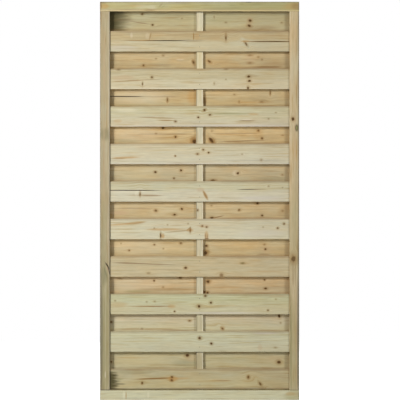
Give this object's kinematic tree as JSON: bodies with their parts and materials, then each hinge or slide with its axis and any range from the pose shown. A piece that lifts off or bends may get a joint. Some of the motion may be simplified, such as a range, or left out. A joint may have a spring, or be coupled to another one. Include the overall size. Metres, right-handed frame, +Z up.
{
  "type": "privacy fence panel",
  "caption": "Upright timber fence panel: a grooved frame round two staggered layers of horizontal slats on a centre batten, which block the view and let air through.",
  "frame": {"origin": "middle of the underside of the bottom rail", "axes": "+X along the panel, front faces -Y, +Z up the panel"},
  "size_m": [0.9, 0.044, 1.8],
  "materials": {
    "frame_timber": "planed, pressure-treated softwood, tan with a green cast",
    "front_slat_timber": "planed, pressure-treated softwood, pale cream with a green cast and knots",
    "back_slat_timber": "planed, pressure-treated softwood, warm tan with knots",
    "upright_timber": "planed, pressure-treated softwood, pale cream",
    "pin_steel": "dull galvanised wire"
  },
  "bodies": {
    "root": {"top_rail": "frame_timber", "bottom_rail": "frame_timber", "left_stile": "frame_timber", "right_stile": "frame_timber", "front_slat_01": "front_slat_timber", "front_slat_02": "front_slat_timber", "front_slat_03": "front_slat_timber", "front_slat_04": "front_slat_timber", "front_slat_05": "front_slat_timber", "front_slat_06": "front_slat_timber", "front_slat_07": "front_slat_timber", "front_slat_08": "front_slat_timber", "front_slat_09": "front_slat_timber", "front_slat_10": "front_slat_timber", "back_slat_01": "back_slat_timber", "back_slat_02": "back_slat_timber", "back_slat_03": "back_slat_timber", "back_slat_04": "back_slat_timber", "back_slat_05": "back_slat_timber", "back_slat_06": "back_slat_timber", "back_slat_07": "back_slat_timber", "back_slat_08": "back_slat_timber", "back_slat_09": "back_slat_timber", "back_slat_10": "back_slat_timber", "bottom_strip": "back_slat_timber", "centre_batten": "upright_timber", "left_fillet": "upright_timber", "right_fillet": "upright_timber", "front_slat_pins": "pin_steel", "back_slat_pins": "pin_steel", "corner_pins": "pin_steel"}
  },
  "joints": []
}
